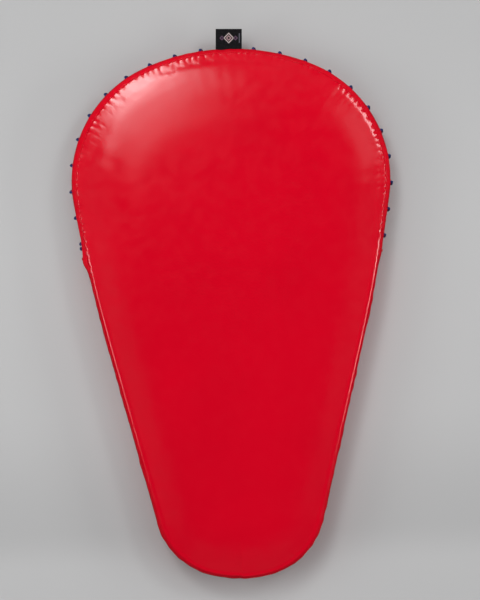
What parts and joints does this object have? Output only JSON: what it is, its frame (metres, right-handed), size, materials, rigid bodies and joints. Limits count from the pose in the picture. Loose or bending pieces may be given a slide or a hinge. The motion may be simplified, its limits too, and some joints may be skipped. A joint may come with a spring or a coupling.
{
  "type": "pavise shield",
  "caption": "Teardrop padded pavise shield in a glossy red coated cover, with a gathered soft edge, a cord-laced mouth round the head, a woven label and webbing straps behind.",
  "frame": {"origin": "centre of the whole box, label included, on the plane that the back lies on", "axes": "+Z out of the padded face, +Y towards the broad head, +X to the right of someone facing the face"},
  "size_m": [0.5501, 0.9331, 0.062],
  "materials": {
    "red_coated_cloth": "satin gloss, PVC coated cloth",
    "red_edge_cloth": "satin gloss, PVC coated cloth",
    "red_lining": "matt woven cloth",
    "red_hem": "matt folded tape",
    "blue_cord": "braided polyester",
    "black_satin": "satin weave",
    "black_webbing": "ribbed webbing"
  },
  "bodies": {
    "root": {"face_pad": "red_coated_cloth", "edge_roll": "red_edge_cloth", "back_panel": "red_lining", "front_hem": "red_hem", "rear_hem": "red_hem", "lacing_cord": "blue_cord", "label_tag": "black_satin", "hand_grip": "black_webbing", "arm_strap": "black_webbing"}
  },
  "joints": []
}
